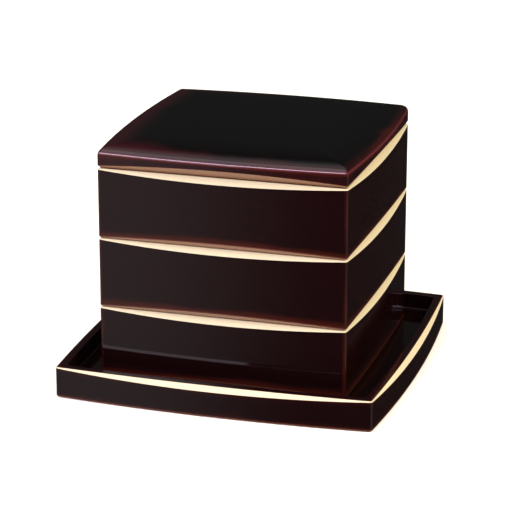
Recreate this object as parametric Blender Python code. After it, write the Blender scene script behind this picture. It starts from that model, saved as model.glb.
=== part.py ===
"""Stacking food box in lacquered wood: three equal tiers with bowed sides, a crowned lid that lifts off,
and the low tray that the stack stands in.

Metres, +Z up. The origin is the middle of the tray's underside, the front faces -Y.
Every piece is one ring of points lofted from its underside, round its wall and down into its hollow.
"""
import math

import bmesh
import bpy

# Plan of the box: a side runs between two corners and swells past the straight line between them
box_width = 0.1950
box_bow = 0.0035
lid_bow = 0.0050
tier_wall = 0.0065
tier_inner_bow = 0.0020

# Plan of the tray
tray_width = 0.2500
tray_bow = 0.0064
tray_wall = 0.0070
tray_inner_bow = 0.0040
tray_rim_bow = 0.0040
tray_foot_width = 0.0110

# Heights
tray_height = 0.0246
tray_floor_height = 0.0119
tray_recess_depth = 0.0045
tier_height = 0.0550
tier_panel = 0.0060
lid_side_height = 0.0097
lid_crown = 0.0036
lid_panel = 0.0072

# The step under each tier and under the lid, which drops into the mouth below
register_height = 0.0025
register_width = 0.0040

# Clearances: between stacked pieces, at the side of a register, and under the lowest register
stack_gap = 0.0003
register_side_gap = 0.0006
register_end_gap = 0.0005

# Sloping edges: one flat plane is taken off along each long outer edge, so the cut widens where the side swells
rim_inset = 0.0008
foot_inset = 0.0012
lid_foot_inset = 0.0020
edge_angle = math.radians(44.0)
tray_edge_inset = 0.0005
tray_edge_angle = math.radians(54.5)
tray_foot_edge = 0.0012

# Roundings
box_corner_radius = 0.0015
tray_corner_radius = 0.0022
inner_corner_radius = 0.0045
cove_radius = 0.0025
lid_arris_radius = 0.0062

# How finely the outlines are divided
side_steps = 12
corner_steps = 3
cove_steps = 3
arris_steps = 5
crown_power = 8.0
crown_rings = (0.97, 0.93, 0.88, 0.82, 0.74, 0.60, 0.35)

# The three tiers, from the tray upwards
tier_names = ("tier_bottom", "tier_middle", "tier_top")

# Finishes: colour, metallic, roughness
lacquer_finish = ((0.020, 0.006, 0.005, 1.0), 0.0, 0.16)
gold_finish = ((0.83, 0.62, 0.30, 1.0), 1.0, 0.34)

box_half = box_width / 2
mouth_half = box_half - tier_wall
register_half = mouth_half - register_side_gap
register_corner = inner_corner_radius - register_side_gap
edge_slope = math.tan(edge_angle)
tray_edge_slope = math.tan(tray_edge_angle)
stack_pitch = tier_height + stack_gap

# The lid's rounded arris turns until it runs on smoothly into the crown
arris_turn = math.pi / 2 - math.atan(crown_power * lid_crown / (box_half - lid_arris_radius))
lid_top_half = box_half - lid_arris_radius * (1 - math.cos(arris_turn))
lid_top_height = lid_side_height + lid_arris_radius * math.sin(arris_turn)


def clear_scene():
    """Removes whatever the scene held before."""
    for old in list(bpy.data.objects):
        bpy.data.objects.remove(old, do_unlink=True)


def finish(name, look):
    """A plain surface with the given colour, metallic and roughness."""
    colour, metallic, roughness = look
    surface = bpy.data.materials.new(name)
    surface.use_nodes = True
    shader = surface.node_tree.nodes["Principled BSDF"]
    shader.inputs["Base Color"].default_value = colour
    shader.inputs["Metallic"].default_value = metallic
    shader.inputs["Roughness"].default_value = roughness
    surface.diffuse_color = colour
    return surface


def plan(half, bow, radius):
    """Outline points of a square with swelling sides and rounded corners, anticlockwise from above.

    half is the distance from the middle to a corner's straight line, bow the swelling at mid-side.
    """
    points = []
    trim = 1 - radius / half
    for side in range(4):
        angle = side * math.pi / 2
        along = [-trim + 2 * trim * step / side_steps for step in range(side_steps + 1)]
        local = [(t * half, -half - bow * (1 - t * t)) for t in along]
        start = local[-1]
        end = (-start[1], -start[0])
        for step in range(1, corner_steps):
            s = step / corner_steps
            x = (1 - s) ** 2 * start[0] + 2 * s * (1 - s) * half + s * s * end[0]
            y = (1 - s) ** 2 * start[1] - 2 * s * (1 - s) * half + s * s * end[1]
            local.append((x, y))
        for x, y in local:
            points.append((x * math.cos(angle) - y * math.sin(angle), x * math.sin(angle) + y * math.cos(angle)))
    return points


def reach(point):
    """How far a point lies from the middle, measured square to its side."""
    return max(abs(point[0]), abs(point[1]))


def level(outline, z):
    """The outline laid flat at height z."""
    return [(x, y, z) for x, y in outline]


def sloped(outline, line, z, slope):
    """The outline where it meets a plane that runs from the given line at height z, at the given slope."""
    return [(p[0], p[1], z + slope * (reach(p) - reach(q))) for p, q in zip(outline, line)]


def shell(name, rings, lacquer, gold=None, gold_band=None):
    """One closed solid through the rings, with a flat cap on the first and the last of them.

    gold_band is the number of the ring where the gilded strip starts.
    """
    mesh = bpy.data.meshes.new(name)
    build = bmesh.new()
    loops = [[build.verts.new(point) for point in ring] for ring in rings]
    count = len(loops[0])
    for number, (low, high) in enumerate(zip(loops, loops[1:])):
        for i in range(count):
            j = (i + 1) % count
            face = build.faces.new((low[i], low[j], high[j], high[i]))
            face.smooth = True
            face.material_index = 1 if number == gold_band else 0
    build.faces.new(list(reversed(loops[0])))
    build.faces.new(loops[-1])
    bmesh.ops.recalc_face_normals(build, faces=build.faces)
    build.to_mesh(mesh)
    build.free()
    mesh.materials.append(lacquer)
    if gold:
        mesh.materials.append(gold)
    mesh.set_sharp_from_angle(angle=math.radians(25))
    piece = bpy.data.objects.new(name, mesh)
    bpy.context.collection.objects.link(piece)
    return piece


def coved_floor(half, bow, z):
    """Rings from the foot of an inner wall, round a cove, to the edge of the flat floor at height z."""
    rings = []
    for step in range(cove_steps + 1):
        turn = math.pi / 2 * step / cove_steps
        inset = cove_radius * (1 - math.cos(turn))
        lift = cove_radius * (1 - math.sin(turn))
        rings.append(level(plan(half - inset, bow, inner_corner_radius), z + lift))
    return rings


def make_tray(lacquer, gold):
    """The tray: a recessed foot, a swelling wall with a gilded rim, and a seat for the lowest register."""
    half = tray_width / 2
    inner_half = half - tray_wall
    foot_half = half - tray_foot_width
    seat_half = register_half + register_side_gap
    seat_z = tray_floor_height - register_height - register_end_gap
    wall = plan(half, tray_bow, tray_corner_radius)
    foot = plan(half - tray_foot_edge, tray_bow, tray_corner_radius)
    rim_line = plan(half - tray_edge_inset, tray_rim_bow, tray_corner_radius)
    recess = plan(foot_half, tray_inner_bow, inner_corner_radius)
    seat = plan(seat_half, tier_inner_bow, inner_corner_radius)
    rings = [
        level(recess, tray_recess_depth),
        level(recess, 0.0),
        level(foot, 0.0),
        level(wall, tray_foot_edge),
        sloped(wall, rim_line, tray_height, -tray_edge_slope),
        level(rim_line, tray_height),
        level(plan(inner_half, tray_inner_bow, inner_corner_radius), tray_height),
    ]
    rings += coved_floor(inner_half, tray_inner_bow, tray_floor_height)
    rings += [level(seat, tray_floor_height), level(seat, seat_z)]
    return shell("tray", rings, lacquer, gold, gold_band=4)


def make_tier(name, base, lacquer, gold):
    """A tier: a register below, sloping lower and gilded upper edges, a hollow with a coved floor."""
    top = base + tier_height
    floor_z = base - register_height + tier_panel
    wall = plan(box_half, box_bow, box_corner_radius)
    foot_line = plan(box_half - foot_inset, 0.0, box_corner_radius)
    rim_line = plan(box_half - rim_inset, 0.0, box_corner_radius)
    register = plan(register_half, tier_inner_bow, register_corner)
    rings = [
        level(register, base - register_height),
        level(register, base),
        level(foot_line, base),
        sloped(wall, foot_line, base, edge_slope),
        sloped(wall, rim_line, top, -edge_slope),
        level(rim_line, top),
        level(plan(mouth_half, tier_inner_bow, inner_corner_radius), top),
    ]
    rings += coved_floor(mouth_half, tier_inner_bow, floor_z)
    return shell(name, rings, lacquer, gold, gold_band=4)


def make_lid(base, lacquer):
    """The lid: hollow inside its register ring, with low bowed sides, a broad rounding and a mitred crown."""
    rim_z = base + lid_top_height
    ceiling_z = rim_z + lid_crown - lid_panel
    wall = plan(box_half, lid_bow, box_corner_radius)
    foot_line = plan(box_half - lid_foot_inset, 0.0, box_corner_radius)
    register = plan(register_half, tier_inner_bow, register_corner)
    hollow = plan(register_half - register_width, tier_inner_bow, inner_corner_radius)
    rings = [
        level(hollow, ceiling_z),
        level(hollow, base - register_height),
        level(register, base - register_height),
        level(register, base),
        level(foot_line, base),
        sloped(wall, foot_line, base, edge_slope),
    ]
    for step in range(arris_steps + 1):
        turn = arris_turn * step / arris_steps
        inset = lid_arris_radius * (1 - math.cos(turn))
        lift = lid_arris_radius * math.sin(turn)
        rings.append(level(plan(box_half - inset, lid_bow, box_corner_radius), base + lid_side_height + lift))
    top = plan(lid_top_half, lid_bow, box_corner_radius)
    for share in crown_rings:
        crown_z = rim_z + lid_crown * (1 - share ** crown_power)
        rings.append(level([(x * share, y * share) for x, y in top], crown_z))
    return shell("lid", rings, lacquer)


def main():
    """Builds the tray, the tiers from the bottom up, and the lid."""
    clear_scene()
    lacquer = finish("translucent_brown_lacquer", lacquer_finish)
    gold = finish("gold_lacquer_edge", gold_finish)
    make_tray(lacquer, gold)
    base = tray_floor_height + stack_gap
    for name in tier_names:
        make_tier(name, base, lacquer, gold)
        base += stack_pitch
    make_lid(base, lacquer)


main()
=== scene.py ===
"""Looks of a stacking food box in lacquered wood: three tiers with gilded edges, a crowned lid and a tray.

Metres, +Z up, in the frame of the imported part. Each piece is one section swept round a square plan whose
sides swell: a section at the corner and one at mid-side, with every arris rounded as polished lacquer is.
"""
import math

import bpy
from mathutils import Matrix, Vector


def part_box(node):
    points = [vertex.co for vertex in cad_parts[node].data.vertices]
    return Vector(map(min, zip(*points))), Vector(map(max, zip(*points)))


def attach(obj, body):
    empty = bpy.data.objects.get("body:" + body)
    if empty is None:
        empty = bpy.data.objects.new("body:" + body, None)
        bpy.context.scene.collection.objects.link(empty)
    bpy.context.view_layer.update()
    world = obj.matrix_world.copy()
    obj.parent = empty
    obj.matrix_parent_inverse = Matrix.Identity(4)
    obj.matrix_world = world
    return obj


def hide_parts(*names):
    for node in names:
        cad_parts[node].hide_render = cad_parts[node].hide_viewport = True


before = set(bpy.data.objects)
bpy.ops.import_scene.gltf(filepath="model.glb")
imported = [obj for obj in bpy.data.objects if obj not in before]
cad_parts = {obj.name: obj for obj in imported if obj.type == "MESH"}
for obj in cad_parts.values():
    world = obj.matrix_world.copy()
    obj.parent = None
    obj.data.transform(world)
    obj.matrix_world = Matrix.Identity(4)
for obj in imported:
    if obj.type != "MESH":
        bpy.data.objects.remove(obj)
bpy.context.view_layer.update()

# Plan of the box and of the tray: half the straight line between corners, and the swelling past it
box_half = 0.0975
box_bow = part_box("tier_bottom")[1].x - box_half
lid_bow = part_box("lid")[1].x - box_half
inner_bow = 0.0020
tray_half = 0.1250
tray_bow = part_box("tray")[1].x - tray_half
tray_inner_bow = 0.0040
tray_rim_bow = 0.0040

# Walls, floors and the steps that drop into the mouth below
tier_wall = 0.0065
tier_panel = 0.0060
tray_wall = 0.0070
tray_floor = 0.0119
tray_recess = 0.0045
tray_foot_width = 0.0110
tray_foot_edge = 0.0012
seat_depth = 0.0030
seat_half = 0.0910
register_height = 0.0025
register_half = 0.0904
register_width = 0.0040
lid_crown = 0.0036
lid_panel = 0.0072

# Sloping edges: how far the line they start from lies inside the corner, how steeply they fall, and how far
# the gold is carried over the arris on to the tier's rim
rim_inset = 0.0008
foot_inset = 0.0012
lid_foot_inset = 0.0020
edge_slope = math.tan(math.radians(44.0))
tray_edge_inset = 0.0005
tray_edge_slope = math.tan(math.radians(54.5))
gold_lap = 0.0009

# Roundings of the plan's corners
box_corner = 0.0015
tray_corner = 0.0022
inner_corner = 0.0045
register_corner = 0.0039

# Roundings of the section's arrises, as rubbed-down lacquer has them
fine_arris = 0.0004
soft_arris = 0.0007
lid_arris = 0.0062
cove = 0.0025

# The share of a strip that its rounding may take, and how far the short flats reach past the arc's ends
rounding_share = 0.4
flat_reach = 1.15

# The lid's rounded arris turns until it runs on smoothly into the crown
crown_power = 8.0
arris_turn = math.pi / 2 - math.atan(crown_power * lid_crown / (box_half - lid_arris))

# How finely the meshes are divided, and how near to each other points become one
side_steps = 48
corner_steps = 8
arc_steps = 6
lid_arc_steps = 12
crown_steps = 28
weld = 0.000004

# How many times narrower the plan's corners are rubbed than the long arrises
corner_rub = 2.4

# Finishes of a section's strips, by the number of their material
OUTSIDE, GILDED, HIDDEN = 0, 1, 2

# The studio: the point its lights are turned to, the floor's sheet, and the background as the camera sees it
studio_middle = Vector((0.0, 0.0, 0.12))
floor_reach = 4.0
floor_height = -0.0002
background_level = 1.25

# The camera: high at the front right, with a long lens and no shift
camera_place = (0.4997, -1.6814, 0.6679)
camera_yaw = math.radians(16.603)
camera_tilt = math.radians(18.337)
camera_lens = 163.88
sensor_width = 36.0


def linear(code):
    """An sRGB hex colour as linear RGBA."""
    parts = [int(code[i:i + 2], 16) / 255 for i in (1, 3, 5)]
    return [c / 12.92 if c <= 0.04045 else ((c + 0.055) / 1.055) ** 2.4 for c in parts] + [1.0]


def new_object(name, data):
    """A new object in the scene."""
    made = bpy.data.objects.new(name, data)
    bpy.context.scene.collection.objects.link(made)
    return made


def socket_of(sockets, key):
    """The socket in use with that name, or at that number."""
    if isinstance(key, int):
        return sockets[key]
    return next(s for s in sockets if s.name == key and s.enabled)


def add(tree, kind, inputs=None, take=None, **settings):
    """Adds a node with its settings, links or sets its inputs, and returns the output asked for."""
    made = tree.nodes.new(kind)
    for name, value in settings.items():
        setattr(made, name, value)
    for key, value in (inputs or {}).items():
        socket = socket_of(made.inputs, key)
        if isinstance(value, bpy.types.NodeSocket):
            tree.links.new(value, socket)
        else:
            socket.default_value = value
    if take is not None:
        return socket_of(made.outputs, take)
    return next((s for s in made.outputs if s.enabled), None)


def maths(tree, operation, *values):
    """The result of one operation on numbers."""
    return add(tree, "ShaderNodeMath", dict(enumerate(values)), operation=operation)


def whole(tree, operation, *values):
    """The result of one operation on whole numbers."""
    return add(tree, "FunctionNodeIntegerMath", dict(enumerate(values)), operation=operation)


def mixed(tree, kind, factor, low, high):
    """A number, vector or colour between low and high, by the factor."""
    return add(tree, "ShaderNodeMix", {"Factor": factor, "A": low, "B": high}, data_type=kind)


def ramp(tree, value, start, end, low=0.0, high=1.0, curve="LINEAR"):
    """A number that goes from low to high while the value goes from start to end, and stays there."""
    return add(tree, "ShaderNodeMapRange", {"Value": value, "From Min": start, "From Max": end,
                                            "To Min": low, "To Max": high}, interpolation_type=curve)


def new_material(name, settings):
    """A Principled material with the given settings, and its shader."""
    material = bpy.data.materials.new(name)
    material.use_nodes = True
    shader = material.node_tree.nodes["Principled BSDF"]
    for key, value in settings.items():
        shader.inputs[key].default_value = value
    return material, shader


def translucent_lacquer(name, ground, rubbed, worn, under, top_ground, top_margin, worn_width, reaches, lean):
    """Tame lacquer: clear brown urushi over a red ground, rubbed and polished.

    It looks black where it lies thick (ground), brown red next to the arrises (rubbed) and redder still on
    the arris itself (worn). On level tops, picked out by facing up, its colours are set apart and mostly
    darker (top_ground, top_margin): painted shade that keeps those tops dark under the light from above. On
    the
    slopes that face down it is brown (under): a painted reflection of the gold band below them. It mirrors
    its surroundings with the slight unrest of a hand-polished coat. The widths are in metres, and a negative
    lean widens the red margins on the top towards the left.
    """
    material, shader = new_material(name, {"Roughness": 0.4, "Specular IOR Level": 0.0, "Coat Weight": 1.0,
                                           "Coat Roughness": 0.05, "Coat IOR": 1.52})
    tree = material.node_tree
    place = add(tree, "ShaderNodeTexCoord", take="Object")
    edge = add(tree, "ShaderNodeAttribute", attribute_name="edge_distance", take="Fac")
    cloud = add(tree, "ShaderNodeTexNoise", {"Vector": place, "Scale": 14.0, "Detail": 2.0})
    facing = add(tree, "ShaderNodeNewGeometry", take="Normal")
    upward = add(tree, "ShaderNodeSeparateXYZ", {0: facing}, "Z")
    top = ramp(tree, upward, 0.80, 0.97)
    # The coat is thin for some way in from an arris, and three times as far on the lid's top
    # A lean widens the red margins on the top towards one side
    sideways = add(tree, "ShaderNodeSeparateXYZ", {0: place}, "X")
    top_lean = maths(tree, "MULTIPLY", top, lean)
    leaning = maths(tree, "MULTIPLY_ADD", sideways, top_lean, cloud)
    near = ramp(tree, leaning, 0.35, 0.65, *reaches)
    wide = maths(tree, "MULTIPLY_ADD", top, 2.0, 1.0)
    reach = maths(tree, "MULTIPLY", near, wide)
    thin = ramp(tree, edge, 0.0, reach, 1.0, 0.0, "SMOOTHERSTEP")
    # Level tops take the top_ground and top_margin colours: painted shade that keeps them dark under the
    # overhead light
    margin = mixed(tree, "RGBA", top, linear(rubbed), linear(top_margin))
    thick = mixed(tree, "RGBA", top, linear(ground), linear(top_ground))
    coat = mixed(tree, "RGBA", thin, thick, margin)
    # The arris itself is worn down to the red ground, but not on the slopes that face down
    bare = ramp(tree, edge, 0.0, worn_width, 1.0, 0.0, "SMOOTHSTEP")
    above = ramp(tree, upward, -0.3, 0.0)
    wear = maths(tree, "MULTIPLY", bare, above)
    side_colour = mixed(tree, "RGBA", wear, coat, linear(worn))
    # Slopes that face down take the brown under colour: a painted reflection of the gold band below them
    below = ramp(tree, upward, -0.3, -0.6)
    colour = mixed(tree, "RGBA", below, side_colour, linear(under))
    tree.links.new(colour, shader.inputs["Base Color"])
    # Undulation some 30 mm long and a few microns high, from polishing by hand
    swell = add(tree, "ShaderNodeTexNoise", {"Vector": place, "Scale": 33.0, "Detail": 1.0})
    bump = add(tree, "ShaderNodeBump", {"Height": swell, "Distance": 0.00002, "Strength": 1.0})
    tree.links.new(bump, shader.inputs["Normal"])
    tree.links.new(bump, shader.inputs["Coat Normal"])
    return material


def gold_lacquer():
    """Gold lacquer: fine gold powder sprinkled on wet urushi and burnished to a satin."""
    material, shader = new_material("burnished_gold_powder_lacquer",
                                    {"Metallic": 0.12, "Specular IOR Level": 0.3, "Coat Weight": 0.2,
                                     "Coat Roughness": 0.3})
    tree = material.node_tree
    place = add(tree, "ShaderNodeTexCoord", take="Object")
    # Powder grains of about 0.1 mm are drawn some 0.7 mm wide, so that they show
    grain = add(tree, "ShaderNodeTexNoise", {"Vector": place, "Scale": 1400.0, "Detail": 2.0})
    tone = mixed(tree, "RGBA", grain, linear("#c9bc9b"), linear("#d6ccaf"))
    tree.links.new(tone, shader.inputs["Base Color"])
    rough = ramp(tree, grain, 0.0, 1.0, 0.42, 0.58)
    tree.links.new(rough, shader.inputs["Roughness"])
    bump = add(tree, "ShaderNodeBump", {"Height": grain, "Distance": 0.00002, "Strength": 0.4})
    tree.links.new(bump, shader.inputs["Normal"])
    return material


def inner_lacquer():
    """Plain black lacquer of the hollows and undersides: a satin coat laid on with a wide brush."""
    material, shader = new_material("plain_black_inner_lacquer", {})
    tree = material.node_tree
    place = add(tree, "ShaderNodeTexCoord", take="Object")
    cloud = add(tree, "ShaderNodeTexNoise", {"Vector": place, "Scale": 60.0, "Detail": 2.0})
    tone = mixed(tree, "RGBA", cloud, linear("#141012"), linear("#1c1415"))
    tree.links.new(tone, shader.inputs["Base Color"])
    rough = ramp(tree, cloud, 0.0, 1.0, 0.24, 0.34)
    tree.links.new(rough, shader.inputs["Roughness"])
    return material


def corner(reach, height, plan_radius, rounding=0.0, finish=OUTSIDE, arris=False, share=1.0, steps=1):
    """A corner of a section, and the finish and the steps of the strip that runs on from it.

    arris marks an outer edge where the lacquer is rubbed thin, share is the place of a ring on the crown.
    """
    return {"reach": reach, "height": height, "plan": plan_radius, "rounding": rounding,
            "finish": finish, "arris": arris, "share": share, "steps": steps}


def spot_of(point):
    """A section point's reach and height as a vector."""
    return Vector((point["reach"], point["height"]))


def rounded(corners):
    """The corners' fine points: a rounded corner becomes an arc, with a short flat before and after it."""
    points = []
    for number, here in enumerate(corners):
        if not here["rounding"]:
            points.append(here)
            continue
        middle = spot_of(here)
        before = spot_of(corners[number - 1]) - middle
        after = spot_of(corners[number + 1]) - middle
        turn = math.pi - before.angle(after)
        tangent = min(here["rounding"] * math.tan(turn / 2), rounding_share * before.length,
                      rounding_share * after.length)
        start = before.normalized() * tangent
        end = after.normalized() * tangent
        bends = [k / arc_steps for k in range(arc_steps + 1)]
        arc = [start * (1 - s) ** 2 + end * s * s for s in bends]
        track = [start * flat_reach] + arc + [end * flat_reach]
        for step, offset in enumerate(track):
            spot = middle + offset
            strip = corners[number - 1] if step < len(track) // 2 else here
            last = step == len(track) - 1
            points.append(dict(here, reach=spot.x, height=spot.y, finish=strip["finish"],
                               steps=here["steps"] if last else 1))
    return points


def divided(points):
    """The points with the long strips between them cut into their steps."""
    measures = ("reach", "height", "plan")
    fine = []
    for here, after in zip(points, points[1:]):
        for step in range(here["steps"]):
            share = step / here["steps"]
            between = {key: here[key] + share * (after[key] - here[key]) for key in measures}
            fine.append(dict(here, **between))
    return fine + [points[-1]]


def section_object(name, corners):
    """A helper mesh of one section: reach in X, the plan's corner radius in Y, height in Z."""
    points = divided(rounded(corners))
    arrises = [c for c in corners if c["arris"]]
    mesh = bpy.data.meshes.new(name)
    mesh.from_pydata([(p["reach"], p["plan"], p["height"]) for p in points],
                     [(i, i + 1) for i in range(len(points) - 1)], [])
    outermost = max(p["reach"] for p in points)
    for p in points:
        p["from_arris"] = min(math.hypot(p["reach"] - a["reach"], p["height"] - a["height"]) for a in arrises)
        p["inward"] = outermost - p["reach"]
    for value, kind in (("finish", "INT"), ("share", "FLOAT"), ("from_arris", "FLOAT"), ("inward", "FLOAT")):
        attribute = mesh.attributes.new(value, kind, "POINT")
        attribute.data.foreach_set("value", [p[value] for p in points])
    return new_object(name, mesh)


def sampled(tree, section, kind, value, index):
    """What a section's point with that number has as its value, or as its attribute of that name."""
    if isinstance(value, str):
        value = add(tree, "GeometryNodeInputNamedAttribute", {"Name": value}, data_type=kind)
    return add(tree, "GeometryNodeSampleIndex", {"Geometry": section, "Value": value, "Index": index},
               data_type=kind)


def sweep_tree(gold, hidden):
    """The Geometry Nodes tree that sweeps a section round the swelling square plan."""
    tree = bpy.data.node_groups.new("swelling_square_sweep", "GeometryNodeTree")
    tree.interface.new_socket("Geometry", in_out="OUTPUT", socket_type="NodeSocketGeometry")
    for name, kind in (("Corner Section", "Object"), ("Middle Section", "Object"), ("Side Steps", "Int"),
                       ("Corner Steps", "Int"), ("Crown Height", "Float"), ("Crown Power", "Float"),
                       ("Outer Finish", "Material")):
        tree.interface.new_socket(name, in_out="INPUT", socket_type="NodeSocket" + kind)
    given = add(tree, "NodeGroupInput").node.outputs
    at_corner = add(tree, "GeometryNodeObjectInfo", {"Object": given["Corner Section"]}, "Geometry")
    at_middle = add(tree, "GeometryNodeObjectInfo", {"Object": given["Middle Section"]}, "Geometry")
    count = add(tree, "GeometryNodeAttributeDomainSize", {"Geometry": at_corner}, "Point Count")
    quarter = whole(tree, "ADD", given["Side Steps"], given["Corner Steps"])
    around = whole(tree, "MULTIPLY_ADD", quarter, 4, 1)
    grid = add(tree, "GeometryNodeMeshGrid", {"Vertices X": around, "Vertices Y": count}, "Mesh")

    # Each grid point's number gives its place along the section, its side of the plan and its step there
    index = add(tree, "GeometryNodeInputIndex")
    along = whole(tree, "MODULO", index, count)
    turn = whole(tree, "DIVIDE_FLOOR", index, count)
    side = whole(tree, "DIVIDE_FLOOR", turn, quarter)
    step = whole(tree, "MODULO", turn, quarter)
    spot = add(tree, "GeometryNodeInputPosition")
    corner_spot = sampled(tree, at_corner, "FLOAT_VECTOR", spot, along)
    middle_spot = sampled(tree, at_middle, "FLOAT_VECTOR", spot, along)
    corner_at = add(tree, "ShaderNodeSeparateXYZ", {0: corner_spot}).node.outputs
    half = corner_at["X"]

    # t runs from -1 to 1 along a side, in shorter steps towards the corners; bend from 0 to 1 round a corner
    cut = maths(tree, "DIVIDE", corner_at["Y"], half)
    trim = maths(tree, "SUBTRACT", 1.0, cut)
    swing = ramp(tree, step, 0.0, given["Side Steps"], -math.pi / 2, math.pi / 2)
    wave = maths(tree, "SINE", swing)
    t = maths(tree, "MULTIPLY", wave, trim)
    t_square = maths(tree, "MULTIPLY", t, t)
    bend = ramp(tree, step, given["Side Steps"], quarter)

    # Between the two sections the reach and the height change with the swelling
    here = mixed(tree, "VECTOR", t_square, middle_spot, corner_spot)
    here_at = add(tree, "ShaderNodeSeparateXYZ", {0: here}).node.outputs
    across = maths(tree, "MULTIPLY", t, half)
    across_back = maths(tree, "MULTIPLY", across, -1.0)
    reach_back = maths(tree, "MULTIPLY", here_at["X"], -1.0)
    half_back = maths(tree, "MULTIPLY", half, -1.0)

    # The crown adds its height by the ring, so that the four sides of the top meet in soft mitres
    share = sampled(tree, at_corner, "FLOAT", "share", along)
    fall = maths(tree, "POWER", share, given["Crown Power"])
    rise = maths(tree, "SUBTRACT", 1.0, fall)
    top = maths(tree, "MULTIPLY_ADD", rise, given["Crown Height"], here_at["Z"])

    # The corner is a curve from the end of one side over the straight lines' crossing to the next side
    start = add(tree, "ShaderNodeCombineXYZ", {"X": across, "Y": reach_back, "Z": top})
    crossing = add(tree, "ShaderNodeCombineXYZ", {"X": half, "Y": half_back, "Z": top})
    end = add(tree, "ShaderNodeCombineXYZ", {"X": here_at["X"], "Y": across_back, "Z": top})
    first = mixed(tree, "VECTOR", bend, start, crossing)
    second = mixed(tree, "VECTOR", bend, crossing, end)
    bent = mixed(tree, "VECTOR", bend, first, second)
    angle = maths(tree, "MULTIPLY", side, math.pi / 2)
    turned = add(tree, "ShaderNodeVectorRotate", {"Vector": bent, "Angle": angle}, rotation_type="Z_AXIS")
    shaped = add(tree, "GeometryNodeSetPosition", {"Geometry": grid, "Position": turned})

    # How far a point is from the nearest outer arris, with the plan's corners rubbed on a narrower strip
    from_arris = sampled(tree, at_corner, "FLOAT", "from_arris", along)
    inward = sampled(tree, at_corner, "FLOAT", "inward", along)
    t_size = maths(tree, "ABSOLUTE", t)
    short = maths(tree, "SUBTRACT", 1.0, t_size)
    along_side = maths(tree, "MULTIPLY_ADD", short, half, inward)
    from_corner = maths(tree, "MULTIPLY", along_side, corner_rub)
    nearest = maths(tree, "MINIMUM", from_arris, from_corner)
    marked = add(tree, "GeometryNodeStoreNamedAttribute",
                 {"Geometry": shaped, "Name": "edge_distance", "Value": nearest},
                 data_type="FLOAT", domain="POINT")

    # The strip's finish, kept on the faces
    strips = maths(tree, "SUBTRACT", count, 1.0)
    strip = whole(tree, "MODULO", index, strips)
    finish = sampled(tree, at_corner, "INT", "finish", strip)
    named = add(tree, "GeometryNodeStoreNamedAttribute",
                {"Geometry": marked, "Name": "strip_finish", "Value": finish},
                data_type="INT", domain="FACE")
    welded = add(tree, "GeometryNodeMergeByDistance", {"Geometry": named, "Distance": weld})
    smooth = add(tree, "GeometryNodeSetShadeSmooth", {"Geometry": welded})
    result = add(tree, "GeometryNodeRealizeInstances", {"Geometry": smooth})
    kept_finish = add(tree, "GeometryNodeInputNamedAttribute", {"Name": "strip_finish"}, data_type="INT")
    for number, material in enumerate((given["Outer Finish"], gold, hidden)):
        chosen = add(tree, "FunctionNodeCompare", {"A": kept_finish, "B": number}, data_type="INT",
                     operation="EQUAL")
        result = add(tree, "GeometryNodeSetMaterial", {"Geometry": result, "Selection": chosen,
                                                       "Material": material})
    add(tree, "NodeGroupOutput", {"Geometry": result})
    return tree


def sweep(name, node, sections, tree, finish, crown=0.0):
    """Makes one piece from its section at the corner and its section at mid-side, in place of a CAD node."""
    helpers = [section_object(name + "_section", corners) for corners in sections]
    carrier = new_object(name + "_carrier", bpy.data.meshes.new(name + "_carrier"))
    modifier = carrier.modifiers.new("sweep", "NODES")
    modifier.node_group = tree
    values = {"Corner Section": helpers[0], "Middle Section": helpers[1], "Side Steps": side_steps,
              "Corner Steps": corner_steps, "Crown Height": crown, "Crown Power": crown_power,
              "Outer Finish": finish}
    for item in tree.interface.items_tree:
        if item.in_out == "INPUT":
            modifier[item.identifier] = values[item.name]
    depsgraph = bpy.context.evaluated_depsgraph_get()
    mesh = bpy.data.meshes.new_from_object(carrier.evaluated_get(depsgraph), depsgraph=depsgraph)
    mesh.name = name
    # The first slot stays empty, because the sweep sets a material on every face
    mesh.materials.pop(index=0)
    for old in helpers + [carrier]:
        bpy.data.objects.remove(old)
    piece = new_object(name, mesh)
    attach(piece, "root")
    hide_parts(node)


def tray_section(swell):
    """The tray's section, from the middle of its underside round the wall to the middle of the seat."""
    half = tray_half + tray_bow * swell
    foot = tray_half - tray_foot_edge + tray_bow * swell
    recess = tray_half - tray_foot_width + tray_inner_bow * swell
    rim = tray_half - tray_edge_inset + tray_rim_bow * swell
    inner = tray_half - tray_wall + tray_inner_bow * swell
    seat = seat_half + inner_bow * swell
    seat_height = tray_floor - seat_depth
    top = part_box("tray")[1].z
    edge_low = top - tray_edge_slope * (half - rim)
    return [
        corner(0.0, tray_recess, 0.0, finish=HIDDEN),
        corner(recess, tray_recess, inner_corner, finish=HIDDEN),
        corner(recess, 0.0, inner_corner, fine_arris, HIDDEN),
        corner(foot, 0.0, tray_corner, fine_arris),
        corner(half, tray_foot_edge, tray_corner, soft_arris, arris=True, steps=8),
        corner(half, edge_low, tray_corner, fine_arris, GILDED),
        corner(rim, top, tray_corner, fine_arris, arris=True, steps=4),
        corner(inner, top, inner_corner, soft_arris, steps=4),
        corner(inner, tray_floor, inner_corner, cove, steps=6),
        corner(seat, tray_floor, inner_corner, fine_arris),
        corner(seat, seat_height, inner_corner, finish=HIDDEN),
        corner(0.0, seat_height, 0.0, finish=HIDDEN),
    ]


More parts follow.
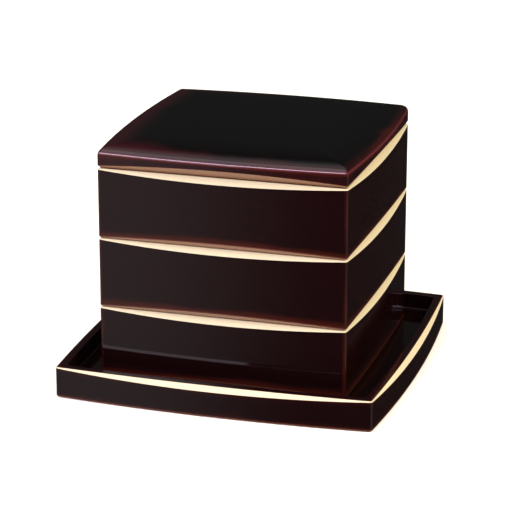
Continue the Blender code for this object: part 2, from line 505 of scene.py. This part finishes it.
def tier_section(node, swell):
    """A tier's section, from the middle of its underside round the wall to the middle of its floor."""
    low, high = (limit.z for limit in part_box(node))
    base = low + register_height
    half = box_half + box_bow * swell
    foot_line = box_half - foot_inset
    rim_line = box_half - rim_inset
    mouth = box_half - tier_wall + inner_bow * swell
    register = register_half + inner_bow * swell
    floor = low + tier_panel
    return [
        corner(0.0, low, 0.0, finish=HIDDEN),
        corner(register, low, register_corner, fine_arris, HIDDEN),
        corner(register, base, register_corner, finish=HIDDEN),
        corner(foot_line, base, box_corner, fine_arris, arris=True),
        corner(half, base + edge_slope * (half - foot_line), box_corner, soft_arris, arris=True, steps=20),
        corner(half, high - edge_slope * (half - rim_line), box_corner, fine_arris, GILDED),
        corner(rim_line, high, box_corner, fine_arris, GILDED),
        corner(rim_line - gold_lap, high, box_corner),
        corner(mouth, high, inner_corner, soft_arris, HIDDEN),
        corner(mouth, floor, inner_corner, cove, HIDDEN),
        corner(0.0, floor, 0.0, finish=HIDDEN),
    ]


def lid_section(swell):
    """The lid's section, from the middle of its ceiling round the register and the side to the crown."""
    low, high = (limit.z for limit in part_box("lid"))
    base = low + register_height
    rim_height = high - lid_crown
    side_top = rim_height - lid_arris * math.sin(arris_turn)
    ceiling = high - lid_panel
    half = box_half + lid_bow * swell
    foot_line = box_half - lid_foot_inset
    register = register_half + inner_bow * swell
    hollow = register - register_width
    points = [
        corner(0.0, ceiling, 0.0, finish=HIDDEN),
        corner(hollow, ceiling, inner_corner, finish=HIDDEN),
        corner(hollow, low, inner_corner, fine_arris, HIDDEN),
        corner(register, low, register_corner, fine_arris, HIDDEN),
        corner(register, base, register_corner, finish=HIDDEN),
        corner(foot_line, base, box_corner, fine_arris, arris=True),
        corner(half, base + edge_slope * (half - foot_line), box_corner, soft_arris, steps=4),
    ]
    # The broad rounding of the lid's upper arris, rubbed thin a quarter of the way round
    for step in range(lid_arc_steps + 1):
        turn = arris_turn * step / lid_arc_steps
        inset = lid_arris * (1 - math.cos(turn))
        lift = lid_arris * math.sin(turn)
        points.append(corner(half - inset, side_top + lift, box_corner, arris=step == lid_arc_steps // 4))
    # The crown's rings, down to a point in the middle
    top_half = half - lid_arris * (1 - math.cos(arris_turn))
    for ring in range(1, crown_steps + 1):
        share = 1 - ring / crown_steps
        points.append(corner(top_half * share, rim_height, box_corner * share, share=share))
    return points


def stand_floor():
    """A matt pale sheet under the tray, which the polished faces don't mirror."""
    material, _ = new_material("matt_pale_floor", {"Base Color": linear("#fafafa"), "Roughness": 0.9,
                                                   "Specular IOR Level": 0.1})
    mesh = bpy.data.meshes.new("floor")
    signs = ((-1, -1), (1, -1), (1, 1), (-1, 1))
    mesh.from_pydata([(x * floor_reach, y * floor_reach, floor_height) for x, y in signs], [], [(0, 1, 2, 3)])
    mesh.materials.append(material)
    floor = new_object("floor", mesh)
    floor.visible_glossy = False


def light_panel(name, direction, distance, width, depth, radiance, tint):
    """A softbox at a distance from the object's middle in the given direction, turned to it."""
    data = bpy.data.lights.new(name, "AREA")
    data.color = tint
    data.shape = "RECTANGLE"
    data.size = width
    data.size_y = depth
    data.energy = radiance * math.pi * width * depth
    panel = new_object(name, data)
    way = Vector(direction).normalized()
    panel.location = studio_middle + way * distance
    panel.rotation_euler = way.to_track_quat("Z", "Y").to_euler()
    return panel


def surroundings():
    """The room as the polished faces mirror it, and the plain background that the camera sees.

    Mirrored rays see it dark behind and below the object and pale overhead, with a glow that grows towards
    the left in front of the object and another at the far right.
    """
    world = bpy.data.worlds.new("studio")
    bpy.context.scene.world = world
    world.use_nodes = True
    tree = world.node_tree
    tree.nodes.clear()
    ray = add(tree, "ShaderNodeTexCoord", take="Generated")
    way = add(tree, "ShaderNodeSeparateXYZ", {0: ray}).node.outputs
    ceiling = ramp(tree, way["Z"], 0.56, 0.90, 0.0, 0.7, "SMOOTHSTEP")
    behind = ramp(tree, way["Z"], -0.1, 0.25, 0.02, 0.038)
    dim = maths(tree, "ADD", ceiling, behind)
    leftward = ramp(tree, way["X"], -0.12, -0.45, 0.0, 0.4, "SMOOTHSTEP")
    before = ramp(tree, way["Y"], 0.0, -0.3, 0.0, 1.0, "SMOOTHSTEP")
    low = ramp(tree, way["Z"], 0.2, -0.1, 0.0, 1.0, "SMOOTHSTEP")
    rightward = ramp(tree, way["X"], 0.55, 0.85, 0.0, 0.35, "SMOOTHSTEP")
    glow = maths(tree, "MULTIPLY_ADD", leftward, before, rightward)
    total = maths(tree, "MULTIPLY_ADD", glow, low, dim)
    seen = add(tree, "ShaderNodeLightPath", take="Is Camera Ray")
    level = mixed(tree, "FLOAT", seen, total, background_level)
    shine = add(tree, "ShaderNodeBackground", {"Strength": level})
    add(tree, "ShaderNodeOutputWorld", {"Surface": shine})


def studio():
    """The studio's light: three softboxes at the front left, one at the right, and a pale ceiling.

    The two lower ones at the left are narrow strips, so that the lid doesn't mirror them as white fields from
    behind. The right one and the ceiling's light are left out of mirrored rays.
    """
    surroundings()
    light_panel("front_softbox", (-0.305, -0.837, 0.454), 1.7, width=1.6, depth=0.2, radiance=17.5,
                tint=(1.0, 0.87, 1.08))
    light_panel("low_softbox", (-0.480, -0.832, 0.276), 1.7, width=0.96, depth=0.12, radiance=5.5,
                tint=(1.0, 0.90, 0.96))
    light_panel("upper_softbox", (-0.181, -0.498, 0.848), 1.7, width=1.6, depth=1.4, radiance=1.1,
                tint=(0.95, 0.86, 1.05))
    right = light_panel("right_softbox", (0.850, -0.200, 0.490), 1.8, width=1.0, depth=1.0, radiance=9.6,
                        tint=(1.0, 0.84, 0.61))
    right.visible_glossy = False
    # A wide soft sun for the pale ceiling's light
    data = bpy.data.lights.new("ceiling_fill", "SUN")
    data.energy = 2.4
    data.color = (1.0, 0.97, 0.80)
    data.angle = math.radians(150)
    fill = new_object("ceiling_fill", data)
    fill.visible_glossy = False


def camera():
    """The camera at the photograph's place, turned to the object and tilted down at it."""
    data = bpy.data.cameras.new("camera")
    data.sensor_width = sensor_width
    data.lens = camera_lens
    data.clip_end = 50.0
    eye = new_object("camera", data)
    eye.location = camera_place
    eye.rotation_euler = (math.pi / 2 - camera_tilt, 0.0, camera_yaw)
    bpy.context.scene.camera = eye
    # Colours are shown as they are, without a film curve
    bpy.context.scene.view_settings.view_transform = "Standard"


# The brown under colour is a painted reflection of the gold below; top_ground and top_margin are painted
# shade on level tops
# The coat is a little thinner on the lid than on the tiers, so its margins are wider and its arris redder
side_lacquer = translucent_lacquer(
    "tame_urushi_lacquer", ground="#120506", rubbed="#30100a", worn="#57302c", under="#6e4a34",
    top_ground="#120505", top_margin="#160608", worn_width=0.0011, reaches=(0.005, 0.009), lean=0.0)
tray_lacquer = translucent_lacquer(
    "red_tame_urushi_lacquer", ground="#110506", rubbed="#200a08", worn="#57302c", under="#6e4a34",
    top_ground="#0e0404", top_margin="#160608", worn_width=0.0011, reaches=(0.003, 0.007), lean=0.0)
lid_lacquer = translucent_lacquer(
    "thin_tame_urushi_lacquer", ground="#1b080b", rubbed="#2c0e08", worn="#4c2028", under="#6e4a34",
    top_ground="#040303", top_margin="#2a0b12", worn_width=0.0018, reaches=(0.003, 0.010), lean=-3.0)
tree = sweep_tree(gold_lacquer(), inner_lacquer())
sweep("lacquered_tray", "tray", [tray_section(0), tray_section(1)], tree, tray_lacquer)
for tier in ("tier_bottom", "tier_middle", "tier_top"):
    sections = [tier_section(tier, 0), tier_section(tier, 1)]
    sweep("lacquered_" + tier, tier, sections, tree, side_lacquer)
sweep("lacquered_lid", "lid", [lid_section(0), lid_section(1)], tree, lid_lacquer, lid_crown)
bpy.data.node_groups.remove(tree)
stand_floor()
studio()
camera()
